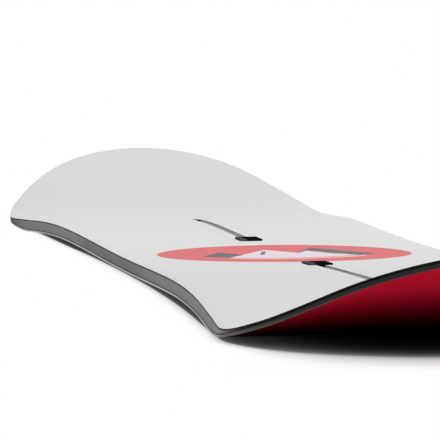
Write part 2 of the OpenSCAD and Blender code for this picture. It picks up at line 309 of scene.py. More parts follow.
def rim_grid(deck, t, inset, share, rise, side):
    """Points at outline place t, moved inwards by inset, at the level of share and rise; side is 1 on
    the left and -1 on the right. All are arrays that broadcast together."""
    x, y = inset_outline(deck, *np.broadcast_arrays(t, inset))
    x, y, z = np.broadcast_arrays(x, y * side, level(deck, x, share, rise))
    return np.stack([x, y, z], -1)


def stations(deck, low=-2.0, high=2.0, extra=()):
    """Values of t from low to high: steps of about 7 mm along the side cut and 64 steps round each tip,
    closest together at the shoulder, plus the x places in extra."""
    straight = np.linspace(-1, 1, 161)
    round_tip = 1 + np.linspace(0, 1, 65)[1:] ** 1.15
    places = np.concatenate([-round_tip, straight, round_tip, np.asarray(extra) / deck.shoulder])
    places = np.unique(np.round(places, 9))
    inside = places[(places > low + 1e-6) & (places < high - 1e-6)]
    return np.concatenate([[low], inside, [high]])


def place_of(deck, x, inset):
    """t at which the outline moved inwards by inset passes x, found by halving between 0 and 2."""
    low, high = np.zeros_like(inset), np.full_like(inset, 2.0)
    for _ in range(40):
        middle = (low + high) / 2
        short = inset_outline(deck, middle, inset)[0] < x
        low, high = np.where(short, middle, low), np.where(short, high, middle)
    return (low + high) / 2


# ---------------------------------------------------------------- meshes


def mesh_of(name, patches, sharp=30):
    """One mesh from patches, each a grid of points (rows, columns, 3) with a material number: quads join
    neighbouring points, points in the same place are merged and the faces turned outwards."""
    points, quads, finish, start = [], [], [], 0
    for grid, material in patches:
        rows, columns = grid.shape[:2]
        corner = start + np.arange(rows * columns).reshape(rows, columns)
        around = [corner[:-1, :-1], corner[1:, :-1], corner[1:, 1:], corner[:-1, 1:]]
        faces = np.stack(around, -1).reshape(-1, 4)
        points.append(grid.reshape(-1, 3))
        quads.append(faces)
        finish.append(np.full(len(faces), material))
        start += rows * columns
    mesh = bpy.data.meshes.new(name)
    mesh.from_pydata(np.concatenate(points), [], np.concatenate(quads))
    mesh.polygons.foreach_set("material_index", np.concatenate(finish).astype(np.int32))
    shell = bmesh.new()
    shell.from_mesh(mesh)
    bmesh.ops.remove_doubles(shell, verts=shell.verts, dist=2e-6)
    bmesh.ops.dissolve_degenerate(shell, edges=shell.edges, dist=1e-7)
    bmesh.ops.recalc_face_normals(shell, faces=shell.faces)
    shell.to_mesh(mesh)
    shell.free()
    mesh.shade_smooth()
    mesh.set_sharp_from_angle(angle=math.radians(sharp))
    return mesh


def add_piece(name, patches, materials, nodes, body=BODY, sharp=30):
    """Makes the piece, lets it ride on its body and stand for the CAD nodes."""
    piece = bpy.data.objects.new(name, mesh_of(name, patches, sharp))
    bpy.context.scene.collection.objects.link(piece)
    for material in materials:
        piece.data.materials.append(material)
    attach(piece, body)
    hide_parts(*nodes)


def closed_profile(points):
    """A closed profile as arrays (inset, share, rise), one column each, the first repeated last."""
    closed = np.array([*points, points[0]], float)
    return closed[:, 0], closed[:, 1], closed[:, 2]


def layer_patches(deck, t, low, high, inset, soft):
    """A whole layer between the levels low and high, each (share, rise): top and bottom are grids of
    outline places by shares of the half width, and the rims round from one to the other over soft. Where
    the layer stops short of a tip, a cut face and the fills of its two rounded rims close it."""
    rows = t[:, None]
    width = np.linspace(-1, 1, 25)[None, :]
    x, y = inset_outline(deck, *np.broadcast_arrays(rows, inset + soft))
    x, y = np.broadcast_arrays(x, y * width)
    faces = [np.stack([x, y, level(deck, x, share, rise)], -1) for share, rise in (low, high)]
    bow = np.linspace(0, math.pi / 2, 4)
    upper = [(inset + soft - soft * math.sin(a), high[0], high[1] - soft + soft * math.cos(a)) for a in bow]
    lower = [(i, low[0], low[1] + high[1] - r) for i, _, r in reversed(upper)]
    d, share, rise = np.array(upper + lower).T
    rims = [rim_grid(deck, rows, d[None], share[None], rise[None], side) for side in SIDES.values()]
    grids = [*faces, *rims]
    for end in (0, -1):
        if abs(t[end]) < 2:
            grids.append(np.stack([face[end] for face in faces]))
            for edge in (rim[end] for rim in rims):
                grids.append(np.stack([edge, edge[[0] * 4 + [-1] * 4]]))
    return [(grid, 0) for grid in grids]


def side_strip(deck, profile, side, reach, core):
    """A strip along one side: a closed profile (inset, share, rise) carried along the outline from -reach
    to reach in x, its ends closed onto the point core of the profile."""
    inset, share, rise = closed_profile(profile)
    stop = place_of(deck, reach, inset)
    t = stations(deck, -1, 1)[:, None] * stop[None]
    grid = rim_grid(deck, t, inset[None], share[None], rise[None], side)
    return [(closed_ends(grid, core_points(deck, reach, core, side)), 0)]


def tip_strip(deck, profile, end, start, core):
    """A strip round a tip: a closed profile (inset, share, rise) carried from one side's joint at x =
    start round the tip to the other's, its ends closed onto the point core of the profile."""
    inset, share, rise = closed_profile(profile)
    stop = place_of(deck, start, inset)
    turn = np.linspace(-1, 1, 161)[:, None]
    turn = np.sign(turn) * np.abs(turn) ** 0.9
    t = 2 - np.abs(turn) * (2 - stop[None])
    side = np.where(turn < 0, -1, 1)
    grid = rim_grid(deck, t * end, inset[None], share[None], rise[None], side)
    cores = core_points(deck, start, core, 1)[1:] * (end, 1, 1)
    return [(closed_ends(grid, np.concatenate([cores * (1, -1, 1), cores])), 0)]


def core_points(deck, reach, core, side):
    """The core point (inset, share, rise) of a profile at x = reach and at x = -reach, as rows."""
    inset = np.array([core[0]])
    t = place_of(deck, reach, inset)
    near = rim_grid(deck, t, inset, core[1], core[2], side)
    return np.concatenate([near * (-1, 1, 1), near])


def closed_ends(grid, cores):
    """The grid with one more row at each end, in which all columns meet in a core point."""
    first, last = (np.broadcast_to(core, grid[:1].shape) for core in cores)
    return np.concatenate([first, grid, last])


# ---------------------------------------------------------------- topsheet


def channel_x(channel, end, distance):
    """x of a place in a channel, from its distance to the stance centre."""
    return end * distance - channel.setback


def opening_places(channel, end):
    """x places at which the opening's outline needs a row: the port's ends, each with a twin a hair
    further on, and ten steps of the half circle that ends the slot."""
    port = channel.inner + channel.port
    centre = channel.outer - channel.half_slot
    arc = centre + channel.half_slot * np.sin(np.linspace(0, math.pi / 2, 11))
    near = [channel.inner, channel.inner + HAIR, port, port + HAIR]
    return np.sort(channel_x(channel, end, np.concatenate([near, arc])))


def opening_half(channel, x):
    """Half width of the opening at x: the port's, then the slot's, then the half circle
    sqrt(r^2 - d^2) around the slot's last centre, and 0 elsewhere."""
    distance = np.abs(x + channel.setback)
    port = channel.inner + channel.port
    centre = channel.outer - channel.half_slot
    straight = np.interp(
        distance,
        [channel.inner, channel.inner + HAIR, port, port + HAIR, centre],
        [0, channel.half_port, channel.half_port, channel.half_slot, channel.half_slot],
        right=0,
    )
    over = np.clip(distance - centre, 0, None)
    circle = np.sqrt(np.clip(channel.half_slot**2 - over**2, 0, None))
    half = np.where(distance > centre, circle, straight)
    return np.where(half < 1e-4 * MM, 0, half)


def topsheet_patches(deck, layers, channel):
    """The sheet in two halves that meet on the middle line wherever no opening parts them. Across a
    half, y goes from the opening's edge, softened over 0.12 mm, to the rim, softened likewise."""
    places = np.concatenate([opening_places(channel, end) for end in ENDS.values()])
    t = stations(deck, extra=places)[:, None]
    soft = 0.12 * MM
    x, rim_y = inset_outline(deck, t, soft)
    half = opening_half(channel, x)
    bevel = np.minimum(soft, half)
    across = np.linspace(0, 1, 15)[None]
    inner, outer = half + bevel, np.maximum(rim_y, half)
    top_y = np.concatenate([half, inner + (outer - inner) * across], 1)
    top_z = level(deck, x, 1, 0) - np.concatenate([bevel, 0 * across + 0 * half], 1)
    low_y = half + (outer - half) * across
    low_z = level(deck, x, 1, -layers.topsheet)
    bow = np.linspace(0, math.pi / 2, 4)
    d = np.concatenate([soft - soft * np.sin(bow), [0, soft]])[None]
    rise = np.concatenate([soft * np.cos(bow) - soft, [-layers.topsheet] * 2])[None]
    open_rows = (half > 0)[:, 0]
    patches = []
    for side in SIDES.values():
        for y, z in ((top_y, top_z), (low_y, low_z)):
            patches.append((np.stack(np.broadcast_arrays(x, y * side, z), -1), 0))
        patches.append((rim_grid(deck, t, d, 1.0, rise, side), 1))
        for end in ENDS.values():
            mine = open_rows & (np.sign(x[:, 0] + channel.setback) == end)
            first, last = np.flatnonzero(mine)[[0, -1]] + (-1, 1)
            some = slice(first, last + 1)
            wall_x = np.concatenate([x[some]] * 2, 1)
            wall_y = np.concatenate([(half * side)[some]] * 2, 1)
            wall_z = np.concatenate([(level(deck, x, 1, 0) - bevel)[some], low_z[some]], 1)
            patches.append((np.stack([wall_x, wall_y, wall_z], -1), 1))
    return patches


# ---------------------------------------------------------------- caps, plugs and nuts


def rounded_ring(half_x, half_y, radius, inset):
    """A rectangle with round corners, moved inwards by inset: each corner's arc turns about a centre that
    lies its radius inside both sides, and the radius shrinks with the inset."""
    left = np.maximum(radius - inset, HAIR)
    cx = np.maximum(half_x - inset - left, 0)
    cy = np.maximum(half_y - inset - left, 0)
    quarter, step = np.meshgrid(np.arange(4), np.linspace(0, 1, 8), indexing="ij")
    angle = ((quarter + step) * math.pi / 2).ravel()
    sign_x = np.sign(np.cos((quarter.ravel() + 0.5) * math.pi / 2))
    sign_y = np.sign(np.sin((quarter.ravel() + 0.5) * math.pi / 2))
    thin = np.minimum(left, np.minimum(half_x, half_y) - inset).clip(0)
    x = cx[:, None] * sign_x + thin[:, None] * np.cos(angle)
    y = cy[:, None] * sign_y + thin[:, None] * np.sin(angle)
    return np.concatenate([x, x[:, :1]], 1), np.concatenate([y, y[:, :1]], 1)


def block_patch(centre, half_x, half_y, radius, rings, height):
    """A closed block: one ring of its rounded plan for each (inset, share, rise), from the middle of the
    foot to the middle of the head; height(x, share, rise) gives z."""
    inset, share, rise = np.array(rings, float).T
    x, y = rounded_ring(half_x, half_y, radius, inset)
    x = x + centre
    return np.stack([x, y, height(x, share[:, None], rise[:, None])], -1)


def cap_patches(deck, channel, end):
    """A cap: a softly rounded plate with a shallow groove round its head and a thumbnail dip towards the
    slot, above a foot in the loading port that stops half a millimetre over the hollow's floor."""
    middle = channel_x(channel, end, channel.inner - channel.cap_overlap + channel.half_cap_length)
    head = channel.cap_height
    soft = 0.35 * MM
    bow = np.linspace(0, math.pi / 2, 5)
    rounding = [(soft - soft * math.cos(a), 1, head - soft + soft * math.sin(a)) for a in bow]
    notch = ((1.3, 0), (1.5, 0.12), (1.9, 0.12), (2.1, 0))
    groove = [(at * MM, 1, head - deep * MM) for at, deep in notch]
    flat = [(i * MM, 1, head) for i in (3.5, 5, 6.5, 8, 9.5)]
    sole = [(i * MM, 1, 0) for i in (9.5, 5, 0.1)]
    rings = [*sole, (0, 1, 0.1 * MM), *rounding, *groove, *flat]
    dip_at, dip_size, dip_depth = 11.2 * MM, 2.2 * MM, 0.3 * MM

    def dipped(x, share, rise):
        """Level minus a bell-shaped dip, only in the head, with its middle dip_at outwards of the cap's."""
        away = (end * (x - middle) - dip_at) / dip_size
        bowl = np.exp(-(away**2)) * (rise > head / 2)
        return level(deck, x, share, rise - dip_depth * bowl)

    half_length, half_width = channel.half_cap_length, channel.half_cap_width
    plate = block_patch(middle, half_length, half_width, 1.5 * MM, rings, dipped)
    port = channel_x(channel, end, channel.inner + channel.port / 2)
    ground, bevel = channel.floor + 0.5 * MM, 0.4 * MM
    foot = [
        (MIDDLE, 0, ground),
        (bevel, 0, ground),
        (0, 0, ground + bevel),
        (0, 1, -HAIR),
        (MIDDLE, 1, -HAIR),
    ]
    half_length, half_width = channel.port / 2 - channel.gap, channel.half_port - channel.gap
    upright = functools.partial(level, deck)
    return [(plate, 0), (block_patch(port, half_length, half_width, 0.8 * MM, foot, upright), 0)]


def plug_patches(deck, channel, end):
    """A plug: a head that closes the slot just short of its round end and just below the topsheet, on a
    wider foot."""
    gap, hollow = channel.gap, channel.hollow
    last = channel.outer - channel.plug_rest - gap
    first = channel.outer - channel.plug
    half = (last - first) / 2
    middle = channel_x(channel, end, (first + last) / 2)
    knee = channel.floor + hollow / 2
    upright = functools.partial(level, deck)
    head = [
        (MIDDLE, 0, knee),
        (0, 0, knee),
        (0, 1, -0.5 * MM),
        (0.1 * MM, 1, -0.25 * MM),
        (0.4 * MM, 1, -gap),
        (MIDDLE, 1, -gap),
    ]
    foot = [
        (MIDDLE, 0, channel.floor + gap),
        (0.3 * MM, 0, channel.floor + gap),
        (0, 0, channel.floor + 3 * gap),
        (0, 0, channel.floor + hollow - 4 * gap),
        (0.3 * MM, 0, channel.floor + hollow - 2 * gap),
        (MIDDLE, 0, channel.floor + hollow - 2 * gap),
    ]
    return [
        (block_patch(middle, half, channel.half_slot - gap, 1.5 * MM, head, upright), 0),
        (block_patch(middle, half, channel.half_port - gap, 0.5 * MM, foot, upright), 0),
    ]


def nut_patches(place, along, nut):
    """A nut with a threaded hole: at each angle the wall of the hole has the hole's radius plus a groove
    that climbs one pitch a turn, and the outside is the nearest of the sides and cut corners."""
    angle = np.linspace(0, 2 * math.pi, 145)[None]
    cos, sin = np.abs(np.cos(angle)), np.abs(np.sin(angle))
    sides = np.minimum(nut.half_length / np.maximum(cos, 1e-9), nut.half_width / np.maximum(sin, 1e-9))
    outside = np.minimum(sides, (nut.half_length + nut.half_width - nut.corner) / (cos + sin))
    top, bevel = nut.half_height, nut.bevel
    height = np.linspace(nut.lead - top, top - nut.lead, 41)[:, None]
    turns = height / nut.pitch - angle / (2 * math.pi)
    groove = np.abs((turns % 1) * 2 - 1)
    fade = np.clip((top - np.abs(height)) / nut.pitch, 0, 1)
    wall = nut.hole + nut.thread * groove * fade
    mouth = nut.mouth + 0 * angle
    radii = [mouth, outside - bevel, outside, outside, outside - bevel, mouth]
    radius = np.concatenate([wall, *radii, wall[:1]])
    levels = [*height[:, 0], top, top, top - bevel, bevel - top, -top, -top, height[0, 0]]
    z = np.array(levels)[:, None] + 0 * angle
    x, y = radius * np.cos(angle), radius * np.sin(angle)
    up = np.array([-along[2], 0, along[0]])
    points = x[..., None] * np.array(along) + y[..., None] * np.array([0, 1, 0]) + z[..., None] * up
    return [(points + np.array(place), 0)]


# ---------------------------------------------------------------- shader maths


class Wire:
    """The output socket of a node. Arithmetic on it, with numbers or other wires, adds Math nodes."""

    def __init__(self, recipe, socket):
        self.recipe = recipe
        self.socket = socket

    def maths(self, operation, *others):
        """One Math node with this wire as its first value."""
        return self.recipe.node("ShaderNodeMath", {"operation": operation}, (self, *others))

    def __add__(self, other):
        return self.maths("ADD", other)

    def __sub__(self, other):
        return self.maths("SUBTRACT", other)

    def __mul__(self, other):
        return self.maths("MULTIPLY", other)

    def __truediv__(self, other):
        return self.maths("DIVIDE", other)

    def __pow__(self, other):
        return self.maths("POWER", other)

    def __rsub__(self, other):
        return self.maths("MULTIPLY", -1) + other

    def __abs__(self):
        return self.maths("ABSOLUTE")

    def either(self, other):
        """The greater of the two."""
        return self.maths("MAXIMUM", other)

    def both(self, other):
        """The smaller of the two."""
        return self.maths("MINIMUM", other)

    def step(self, low, high):
        """0 below low, 1 above high, smooth between."""
        settings = {"interpolation_type": "SMOOTHSTEP"}
        return self.recipe.node("ShaderNodeMapRange", settings, (self, low, high, 0, 1))


class Recipe:
    """A material or a world while its nodes are being added."""

    def __init__(self, name, kind="materials"):
        self.block = getattr(bpy.data, kind).new(name)
        self.block.use_nodes = True
        self.tree = self.block.node_tree
        self.tree.nodes.clear()

    def node(self, kind, settings=None, values=(), output=0):
        """Adds a node: its settings first, a ramp's stops among them, then the values or wires of its
        sockets, by place or by name. Returns the wire of one output."""
        made = self.tree.nodes.new(kind)
        for key, value in (settings or {}).items():
            if key == "stops":
                made.color_ramp.elements.remove(made.color_ramp.elements[1])
                made.color_ramp.elements[0].position = value[0][0]
                made.color_ramp.elements[0].color = value[0][1]
                for place, tone in value[1:]:
                    made.color_ramp.elements.new(place).color = tone
            else:
                setattr(made, key, value)
        for key, value in values.items() if isinstance(values, dict) else enumerate(values):
            if isinstance(value, Wire):
                self.tree.links.new(value.socket, made.inputs[key])
            else:
                made.inputs[key].default_value = value
        return Wire(self, made.outputs[output])

    def place(self, scale=(1, 1, 1)):
        """Object coordinates, stretched by a Mapping node."""
        point = self.node("ShaderNodeTexCoord", output="Object")
        return self.node("ShaderNodeMapping", None, {"Vector": point, "Scale": scale})

    def axes(self):
        """x, y and z of the object coordinates, in millimetres."""
        point = self.place((1000, 1000, 1000))
        return [self.node("ShaderNodeSeparateXYZ", None, (point,), axis) for axis in range(3)]

    def seen(self):
        """1 for what the camera, a reflection or a refraction shows, 0 for light that falls elsewhere."""
        rays = [self.node("ShaderNodeLightPath", output=name) for name in SEEN_BY]
        return rays[0].either(rays[1]).either(rays[2])

    def noise(self, scale, detail=3.0, stretch=(1, 1, 1)):
        """Noise from about 0 to 1, in cells per metre."""
        values = {"Vector": self.place(stretch), "Scale": scale, "Detail": detail}
        return self.node("ShaderNodeTexNoise", None, values)

    def bands(self, direction, stretch=(1, 1, 1), **values):
        """Bands of a wave texture across one direction, from 0 to 1."""
        settings = {"wave_type": "BANDS", "bands_direction": direction}
        return self.node("ShaderNodeTexWave", settings, {"Vector": self.place(stretch), **values}, 1)

    def mixed(self, factor, first, second):
        """Colour from first to second as factor goes from 0 to 1."""
        tones = [tone if isinstance(tone, Wire) else (*tone[:3], 1) for tone in (first, second)]
        settings = {"data_type": "RGBA"}
        return self.node("ShaderNodeMix", settings, {0: factor, 6: tones[0], 7: tones[1]}, 2)

    def bump(self, height, strength, distance):
        """A normal tilted by a height, with the distance in metres."""
        values = {"Strength": strength, "Distance": distance, "Height": height}
        return self.node("ShaderNodeBump", None, values)

    def surface(self, tone, roughness, bump=None, **fixed):
        """Ends the recipe with a Principled shader: tone and roughness may vary, fixed values don't."""
        base = tone if isinstance(tone, Wire) else (*tone[:3], 1)
        values = {"Base Color": base, "Roughness": roughness}
        values.update({key.replace("_", " "): value for key, value in fixed.items()})
        if bump is not None:
            values["Normal"] = bump
        shader = self.node("ShaderNodeBsdfPrincipled", None, values)
        return self.finish(shader)

    def finish(self, shader):
        """Links a shader to the output and returns the material or world."""
        kind = "World" if isinstance(self.block, bpy.types.World) else "Material"
        end = self.tree.nodes.new("ShaderNodeOutput" + kind)
        self.tree.links.new(shader.socket, end.inputs["Surface"])
        return self.block


def shaded(tone, factor):
    """A colour made lighter or darker by a factor."""
    return tuple(min(1.0, channel * factor) for channel in tone[:3])


# ---------------------------------------------------------------- materials


def half_width(deck, along):
    """Half width of the deck in millimetres at a distance from its middle, as in side_cut."""
    flare = (along / (deck.shoulder / MM)) ** deck.side_cut_power
    return flare * ((deck.half_shoulder - deck.half_waist) / MM) + deck.half_waist / MM


def tip_share(x):
    """0 along the sides and 1 round the tips, for x in millimetres."""
    return abs(x).step(572, 634)


def beside_channel(made, colours, tone, strength):
    """The tone of a cut, lighter within 10 mm of the middle line, where it was routed for the channels,
    but not in the tips."""
    x, y, _ = made.axes()
    return made.mixed(abs(y).step(10, 20).either(tip_share(x)), shaded(colours.track, strength), tone)


def peak(across, up, middle, top, spread):
    """How far a place lies under a mountain's outline: top minus the distance from its middle over
    spread, minus the height."""
    return top - abs(across - middle) / spread - up


def crack(across, up, middle, top, lean, half, start, foot):
    """1 in a crack that leans as it runs down a snow field: half is half its width, and it goes from
    start below the top down to the foot."""
    away = abs(across - middle - (up - top) * lean)
    return (1 - away.step(half, half + 0.4)) * (top - up).step(start, start + 2) * up.step(foot, foot + 4)


def topsheet_print(colours, sizes, deck, channel):
    """Satin lacquer over a light grey sheet. The disc holds a range of snowy peaks: a place is snow or
    rock by how far it lies under the highest of a few triangles, roughened by noise."""
    made = Recipe("topsheet_print")
    x, y, _ = made.axes()
    up = sizes.disc_at / MM - x
    distance = (up * up + y * y) ** 0.5
    radius = sizes.disc_radius / MM
    disc = 1 - distance.step(radius - 0.15, radius + 0.15)
    crag = (made.noise(90, 4) - 0.5) * 9
    foot = up + 46 - y * y / 150
    low = foot.step(-0.4, 0.4)
    left, right = peak(y, up, -46, 28, 0.44), peak(y, up, 33, 64, 0.40)
    rock = (left.either(right).either(peak(y, up, 55, 20, 0.42)) + crag).step(-0.3, 0.3) * low
    snow = (peak(y, up, -7, 46, 0.52).either(peak(y, up, 23, 30, 0.50)) + crag * 0.7).step(-0.3, 0.3) * low
    cleft = crack(y - crag * 0.8, up, -7, 46, 0.22, 1.4, 14, -10)
    gully = crack(y + crag * 0.6, up, 27, 30, -0.3, 1.0, 12, -18)
    mist = (1 - abs(foot + 9).step(3.0, 3.6)) * (1 - abs(y - 4).step(50, 54))
    fill = made.mixed(rock, colours.disc, colours.rock)
    fill = made.mixed((snow - cleft - gully).either(0), fill, colours.snow)
    fill = made.mixed((cleft + gully).both(1) * snow, fill, shaded(colours.rock, 1.3))
    fill = made.mixed(mist, fill, colours.snow)
    # painted shade: the sheet is lightest just inside the tail's bend and darkens towards the nose, ground
    # being a lit and a shaded copy of its grey
    fade = x.step(-250, 420).either((x * -1).step(560, 700) * 0.6)
    ground = made.mixed(fade, shaded(colours.topsheet, 1.085), shaded(colours.topsheet, 0.955))
    tone = made.mixed(disc, ground, fill)
    run = abs(x + channel.setback / MM)
    first, last, pitch = sizes.marks_from / MM, sizes.marks_to / MM, sizes.mark_pitch / MM
    place = abs((run / pitch - 0.5).maths("FRACT") - 0.5) * pitch
    ticks = (1 - place.step(1.4, 1.7)) * (1 - abs(abs(y) - sizes.mark_at / MM).step(1.9, 2.1))
    ticks = ticks * run.step(first - 1, first + 1) * (1 - run.step(last - 1, last + 1))
    tone = made.mixed(ticks * 0.55, tone, colours.mark)
    near_rim = (abs(y) - half_width(deck, abs(x))).step(-3.5, -0.5)
    scuff = near_rim * made.noise(220, 4, (0.35, 1, 1)).step(0.55, 0.7)
    tone = made.mixed(scuff * 0.35, tone, shaded(colours.topsheet, 0.72))
    rough = made.noise(35, 3) * 0.08 + scuff * 0.12 + 0.54
    peel = made.noise(900, 2)
    bump = made.bump(peel, 0.08, 0.0002)
    return made.surface(tone, rough, bump, Specular_IOR_Level=0.12)


def cut_edge(colours):
    """Side of the topsheet where it was trimmed: the clear sheet looks dark, with fine saw marks, and
    lighter where it was routed for the channels."""
    made = Recipe("trimmed_edge")
    marks = made.noise(1500, 2, (1, 1, 0.2))
    tone = made.mixed(marks, shaded(colours.sidewall, 0.55), shaded(colours.sidewall, 0.75))
    # painted shade: black round the tips, in the spacers' colour
    tone = made.mixed(tip_share(made.axes()[0]), tone, colours.spacer)
    tone = beside_channel(made, colours, tone, 0.8)
    return made.surface(tone, marks * 0.2 + 0.5, Specular_IOR_Level=0.0)


def ground_base(colours):
    """Sintered base: stone-ground lines along the deck and faint cloudy pigment, with painted shade that
    makes it darkest where the tips begin to bend up and lighter again towards their rims."""
    made = Recipe("ground_base")
    lines = made.noise(2600, 2, (0.004, 1, 1))
    cloud = made.noise(18, 3)
    tone = made.mixed(cloud.step(0.35, 0.65), colours.base, shaded(colours.base, 0.9))
    tone = made.mixed(lines.step(0.45, 0.8) * 0.25, tone, shaded(colours.base, 0.7))
    # painted shade: full colour inside 540 mm from the middle, down to about 7 % near 620 mm and back to
    # full by 725 mm
    along = abs(made.axes()[0])
    climb = ((along - 615) / 110).either(0).both(1)
    painted_light_share = (climb**2 * 0.93 + 0.07).either(1 - along.step(540, 625))
    tone = made.mixed(painted_light_share, (0, 0, 0), tone)
    bump = made.bump(lines, 0.25, 0.0001)
    return made.surface(tone, lines * 0.2 + 0.6, bump, Specular_IOR_Level=0.0)


def ground_steel(colours):
    """Steel edge, ground lengthways: streaks in tone and roughness, with small nicks. Its colour is painted
    darker on the outer half of the arches, as a dimmer reflection, and nearly black round the tips, as
    painted shade."""
    made = Recipe("ground_steel")
    streaks = made.noise(2400, 3, (0.02, 1, 1))
    nicks = made.noise(700, 4).step(0.64, 0.7)
    tone = made.mixed(streaks, shaded(colours.steel, 0.8), colours.steel)
    tone = made.mixed(nicks, tone, shaded(colours.steel, 0.6))
    along = abs(made.axes()[0])
    # painted reflection: dimmer between about 230 and 490 mm from the middle; painted shade: nearly black
    # from 510 to 600 mm outwards
    painted_dim_reflection = along.step(230, 400) * (1 - along.step(430, 490))
    tone = made.mixed(painted_dim_reflection, tone, shaded(colours.steel, 0.6))
    tone = made.mixed(along.step(510, 600), tone, shaded(colours.steel, 0.06))
    bump = made.bump(streaks, 0.2, 0.00005)
    return made.surface(tone, streaks * 0.2 + 0.35, bump, Metallic=1.0)


def milled_plastic(colours, name, roughness):
    """Milled rim: grey between the tips, with painted shade along one stretch, and black round the tips,
    into which painted shade blends the grey, with fine cutter marks across the rim and a few lengthways
    scratches."""
    made = Recipe(name)
    x = made.axes()[0]
    # painted shade: the grey blends into black from 572 to 634 mm, and from 480 mm on towards the tail
    tip = tip_share(x).either((x * -1).step(480, 640) * 0.8)
    # painted shade: about a quarter darker from the tail side of the middle to just past it
    painted_shading = x.step(-260, -170) * (1 - x.step(20, 180))
    cutter = made.noise(1100, 2, (1, 1, 0.15))
    scratch = made.noise(1600, 3, (0.01, 0.3, 1)).step(0.6, 0.75)
    body = made.mixed(cutter, shaded(colours.sidewall, 0.93), shaded(colours.sidewall, 1.05))
    body = made.mixed(scratch * 0.3, body, shaded(colours.sidewall, 1.35))
    body = made.mixed(painted_shading * 0.38, body, shaded(colours.sidewall, 0.3))
    black = made.mixed(cutter, shaded(colours.spacer, 0.8), shaded(colours.spacer, 1.2))
    bump = made.bump(cutter, 0.15, 0.00008)
    tone = made.mixed(tip, body, black)
    return made.surface(tone, cutter * 0.12 + roughness, bump, Specular_IOR_Level=0.03)


def glass_laminate(colours):
    """Resin-filled glass: crossing bundles of fibre that show as a faint weave, in a lighter seal along
    the channels."""
    made = Recipe("glass_laminate")
    weave = made.bands("X", Scale=180.0).either(made.bands("Y", Scale=180.0))
    tone = made.mixed(weave, shaded(colours.resin, 0.85), shaded(colours.resin, 1.25))
    # painted shade: much darker round the tips
    tone = made.mixed(tip_share(made.axes()[0]), tone, shaded(colours.resin, 0.35))
    tone = beside_channel(made, colours, tone, 0.7)
    bump = made.bump(weave, 0.2, 0.0001)
    return made.surface(tone, weave * 0.15 + 0.5, bump, Specular_IOR_Level=0.02)


def anodised_track(colours):
    """Bead-blasted, anodised metal: a fine even grain, rubbed brighter where nuts slide."""
    made = Recipe("anodised_track")
    grain = made.noise(4200, 2)
    rubbed = made.noise(300, 3, (0.1, 1, 1)).step(0.5, 0.75)
    tone = made.mixed(grain, shaded(colours.track, 0.9), shaded(colours.track, 1.1))
    tone = made.mixed(rubbed * 0.35, tone, shaded(colours.track, 1.5))
    bump = made.bump(grain, 0.2, 0.00005)
    return made.surface(tone, grain * 0.15 + 0.45, bump, Metallic=0.1)


def moulded_rubber(colours):
    """Moulded rubber: fine pores and a grey bloom, with a painted highlight that makes it much lighter on
    the side where y is negative.
    """
    made = Recipe("moulded_rubber")
    pores = made.noise(3200, 3)
    bloom = made.noise(160, 3)
    # painted highlight on the side where y is negative
    painted_shading = (made.axes()[1] * -1).step(3, 6) * 0.7
    tone = made.mixed(bloom.step(0.4, 0.7), colours.rubber, shaded(colours.rubber, 1.8))
    tone = made.mixed(painted_shading, tone, shaded(colours.rubber, 20))
    bump = made.bump(pores, 0.25, 0.00008)
    return made.surface(tone, bloom * 0.15 + 0.75, bump, Specular_IOR_Level=0.0)


def plated_zinc(colours):
    """Zinc plate: cloudy crystals and tool marks."""
    made = Recipe("plated_zinc")
    crystals = made.node("ShaderNodeTexVoronoi", None, {"Vector": made.place(), "Scale": 1400.0})
    tone = made.mixed(crystals, shaded(colours.zinc, 0.85), shaded(colours.zinc, 1.1))
    return made.surface(tone, crystals * 0.2 + 0.45, Metallic=1.0)


def planed_wood(name, tone):
    """Planed wood: annual rings stretched along the deck, broken by pores."""
    made = Recipe(name)
    warped = made.noise(9, 3, (0.35, 1, 1))
    rings = made.bands("Y", (0.12, 1, 1), Scale=34.0, Distortion=9.0, Detail=3.0)
    pores = made.noise(900, 3, (0.03, 1, 1)).step(0.55, 0.7)
    body = made.mixed(rings * 0.6 + warped * 0.4, tone, shaded(tone, 0.72))
    body = made.mixed(pores * 0.4, body, shaded(tone, 0.5))
    return made.surface(body, rings * 0.15 + 0.5, made.bump(pores, 0.3, 0.0001))


